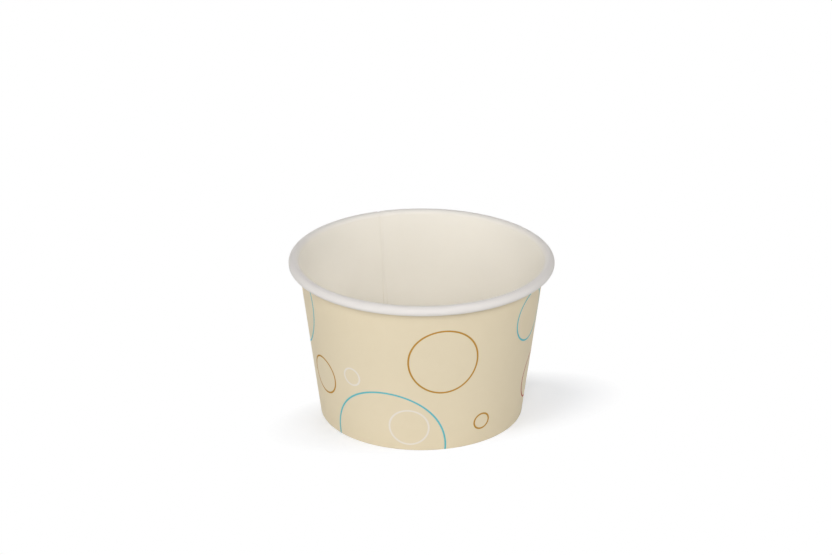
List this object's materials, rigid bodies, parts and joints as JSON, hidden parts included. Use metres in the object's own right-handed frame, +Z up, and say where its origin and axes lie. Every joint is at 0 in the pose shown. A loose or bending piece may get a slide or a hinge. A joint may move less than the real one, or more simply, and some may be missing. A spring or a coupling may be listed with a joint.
{
  "type": "paper dessert cup",
  "caption": "Wide, shallow coated-paper cup with a rolled rim, a lapped side seam and a recessed base, for ice cream or other desserts.",
  "frame": {"origin": "centre of the ring that the cup stands on", "axes": "+Z up along the cup's axis, -Y towards the front as the picture shows it; the side seam's inner edge lies 111 degrees anticlockwise from +X"},
  "size_m": [0.096, 0.096, 0.06],
  "materials": {
    "printed_board": "coated paperboard, beige print with thin coloured rings outside, white inside",
    "white_board": "coated white paperboard, satin above and matte below"
  },
  "bodies": {
    "root": {"side_wall": "printed_board", "bottom_disc": "white_board"}
  },
  "joints": []
}
